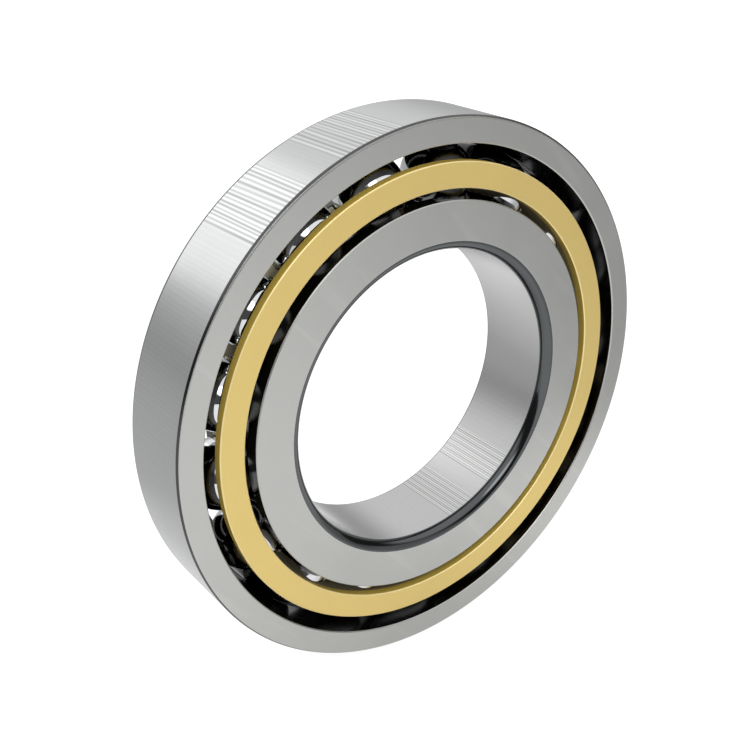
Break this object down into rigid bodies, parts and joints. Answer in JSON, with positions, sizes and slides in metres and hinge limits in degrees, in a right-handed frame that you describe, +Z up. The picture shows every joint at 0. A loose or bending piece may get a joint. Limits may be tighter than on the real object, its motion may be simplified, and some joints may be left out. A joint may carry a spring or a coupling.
{
  "type": "angular contact ball bearing",
  "caption": "Large angular contact ball bearing: ground steel rings, mirror-polished balls and a machined brass cage, made to carry a shaft and its thrust.",
  "frame": {"origin": "centre of the bearing: on the shaft axis, half way through the width", "axes": "+Y along the shaft axis, from the open side of the outer ring (where the cage shows) to its high shoulder; +Z up as the bearing stands on its rim; +X to the right seen from the open side"},
  "size_m": [0.31, 0.052, 0.31],
  "materials": {
    "ring_steel": "ground bearing steel, fine grinding lines, satin",
    "cage_brass": "turned and bored brass, satin",
    "ball_steel": "lapped to a mirror"
  },
  "bodies": {
    "outer_ring": {"outer_ring": "ring_steel"},
    "inner_ring": {"inner_ring": "ring_steel"},
    "cage": {"cage": "cage_brass"},
    "ball_01": {"ball_01": "ball_steel"},
    "ball_02": {"ball_02": "ball_steel"},
    "ball_03": {"ball_03": "ball_steel"},
    "ball_04": {"ball_04": "ball_steel"},
    "ball_05": {"ball_05": "ball_steel"},
    "ball_06": {"ball_06": "ball_steel"},
    "ball_07": {"ball_07": "ball_steel"},
    "ball_08": {"ball_08": "ball_steel"},
    "ball_09": {"ball_09": "ball_steel"},
    "ball_10": {"ball_10": "ball_steel"},
    "ball_11": {"ball_11": "ball_steel"},
    "ball_12": {"ball_12": "ball_steel"},
    "ball_13": {"ball_13": "ball_steel"},
    "ball_14": {"ball_14": "ball_steel"},
    "ball_15": {"ball_15": "ball_steel"},
    "ball_16": {"ball_16": "ball_steel"},
    "ball_17": {"ball_17": "ball_steel"}
  },
  "joints": [
    {"name": "inner_ring_spin", "type": "hinge", "parent": "outer_ring", "child": "inner_ring", "pos_m": [0, 0, 0], "axis": [0, 1, 0], "continuous": true},
    {"name": "cage_orbit", "type": "hinge", "parent": "outer_ring", "child": "cage", "pos_m": [0, 0, 0], "axis": [0, 1, 0], "continuous": true},
    {"name": "ball_01_roll", "type": "hinge", "parent": "cage", "child": "ball_01", "pos_m": [-0.02495, 0, 0.11738], "axis": [0.1336, 0.766, -0.6287], "continuous": true},
    {"name": "ball_02_roll", "type": "hinge", "parent": "cage", "child": "ball_02", "pos_m": [-0.06567, 0, 0.10044], "axis": [0.3517, 0.766, -0.538], "continuous": true},
    {"name": "ball_03_roll", "type": "hinge", "parent": "cage", "child": "ball_03", "pos_m": [-0.09752, 0, 0.06993], "axis": [0.5223, 0.766, -0.3746], "continuous": true},
    {"name": "ball_04_roll", "type": "hinge", "parent": "cage", "child": "ball_04", "pos_m": [-0.11619, 0, 0.02999], "axis": [0.6224, 0.766, -0.1606], "continuous": true},
    {"name": "ball_05_roll", "type": "hinge", "parent": "cage", "child": "ball_05", "pos_m": [-0.11918, 0, -0.01401], "axis": [0.6384, 0.766, 0.0751], "continuous": true},
    {"name": "ball_06_roll", "type": "hinge", "parent": "cage", "child": "ball_06", "pos_m": [-0.10607, 0, -0.05612], "axis": [0.5682, 0.766, 0.3006], "continuous": true},
    {"name": "ball_07_roll", "type": "hinge", "parent": "cage", "child": "ball_07", "pos_m": [-0.07863, 0, -0.09065], "axis": [0.4212, 0.766, 0.4856], "continuous": true},
    {"name": "ball_08_roll", "type": "hinge", "parent": "cage", "child": "ball_08", "pos_m": [-0.04058, 0, -0.11293], "axis": [0.2174, 0.766, 0.6049], "continuous": true},
    {"name": "ball_09_roll", "type": "hinge", "parent": "cage", "child": "ball_09", "pos_m": [0.00296, 0, -0.11996], "axis": [-0.0158, 0.766, 0.6426], "continuous": true},
    {"name": "ball_10_roll", "type": "hinge", "parent": "cage", "child": "ball_10", "pos_m": [0.04609, 0, -0.1108], "axis": [-0.2469, 0.766, 0.5935], "continuous": true},
    {"name": "ball_11_roll", "type": "hinge", "parent": "cage", "child": "ball_11", "pos_m": [0.083, 0, -0.08666], "axis": [-0.4446, 0.766, 0.4642], "continuous": true},
    {"name": "ball_12_roll", "type": "hinge", "parent": "cage", "child": "ball_12", "pos_m": [0.1087, 0, -0.05083], "axis": [-0.5823, 0.766, 0.2723], "continuous": true},
    {"name": "ball_13_roll", "type": "hinge", "parent": "cage", "child": "ball_13", "pos_m": [0.11972, 0, -0.00813], "axis": [-0.6413, 0.766, 0.0435], "continuous": true},
    {"name": "ball_14_roll", "type": "hinge", "parent": "cage", "child": "ball_14", "pos_m": [0.11457, 0, 0.03567], "axis": [-0.6137, 0.766, -0.1911], "continuous": true},
    {"name": "ball_15_roll", "type": "hinge", "parent": "cage", "child": "ball_15", "pos_m": [0.09395, 0, 0.07465], "axis": [-0.5033, 0.766, -0.3999], "continuous": true},
    {"name": "ball_16_roll", "type": "hinge", "parent": "cage", "child": "ball_16", "pos_m": [0.06064, 0, 0.10355], "axis": [-0.3248, 0.766, -0.5547], "continuous": true},
    {"name": "ball_17_roll", "type": "hinge", "parent": "cage", "child": "ball_17", "pos_m": [0.01914, 0, 0.11846], "axis": [-0.1025, 0.766, -0.6346], "continuous": true}
  ],
  "couplings": [
    {"joint": "cage_orbit", "follows": "inner_ring_spin", "ratio": 0.4392},
    {"joint": "ball_01_roll", "follows": "inner_ring_spin", "ratio": -3.103},
    {"joint": "ball_02_roll", "follows": "inner_ring_spin", "ratio": -3.103},
    {"joint": "ball_03_roll", "follows": "inner_ring_spin", "ratio": -3.103},
    {"joint": "ball_04_roll", "follows": "inner_ring_spin", "ratio": -3.103},
    {"joint": "ball_05_roll", "follows": "inner_ring_spin", "ratio": -3.103},
    {"joint": "ball_06_roll", "follows": "inner_ring_spin", "ratio": -3.103},
    {"joint": "ball_07_roll", "follows": "inner_ring_spin", "ratio": -3.103},
    {"joint": "ball_08_roll", "follows": "inner_ring_spin", "ratio": -3.103},
    {"joint": "ball_09_roll", "follows": "inner_ring_spin", "ratio": -3.103},
    {"joint": "ball_10_roll", "follows": "inner_ring_spin", "ratio": -3.103},
    {"joint": "ball_11_roll", "follows": "inner_ring_spin", "ratio": -3.103},
    {"joint": "ball_12_roll", "follows": "inner_ring_spin", "ratio": -3.103},
    {"joint": "ball_13_roll", "follows": "inner_ring_spin", "ratio": -3.103},
    {"joint": "ball_14_roll", "follows": "inner_ring_spin", "ratio": -3.103},
    {"joint": "ball_15_roll", "follows": "inner_ring_spin", "ratio": -3.103},
    {"joint": "ball_16_roll", "follows": "inner_ring_spin", "ratio": -3.103},
    {"joint": "ball_17_roll", "follows": "inner_ring_spin", "ratio": -3.103}
  ]
}
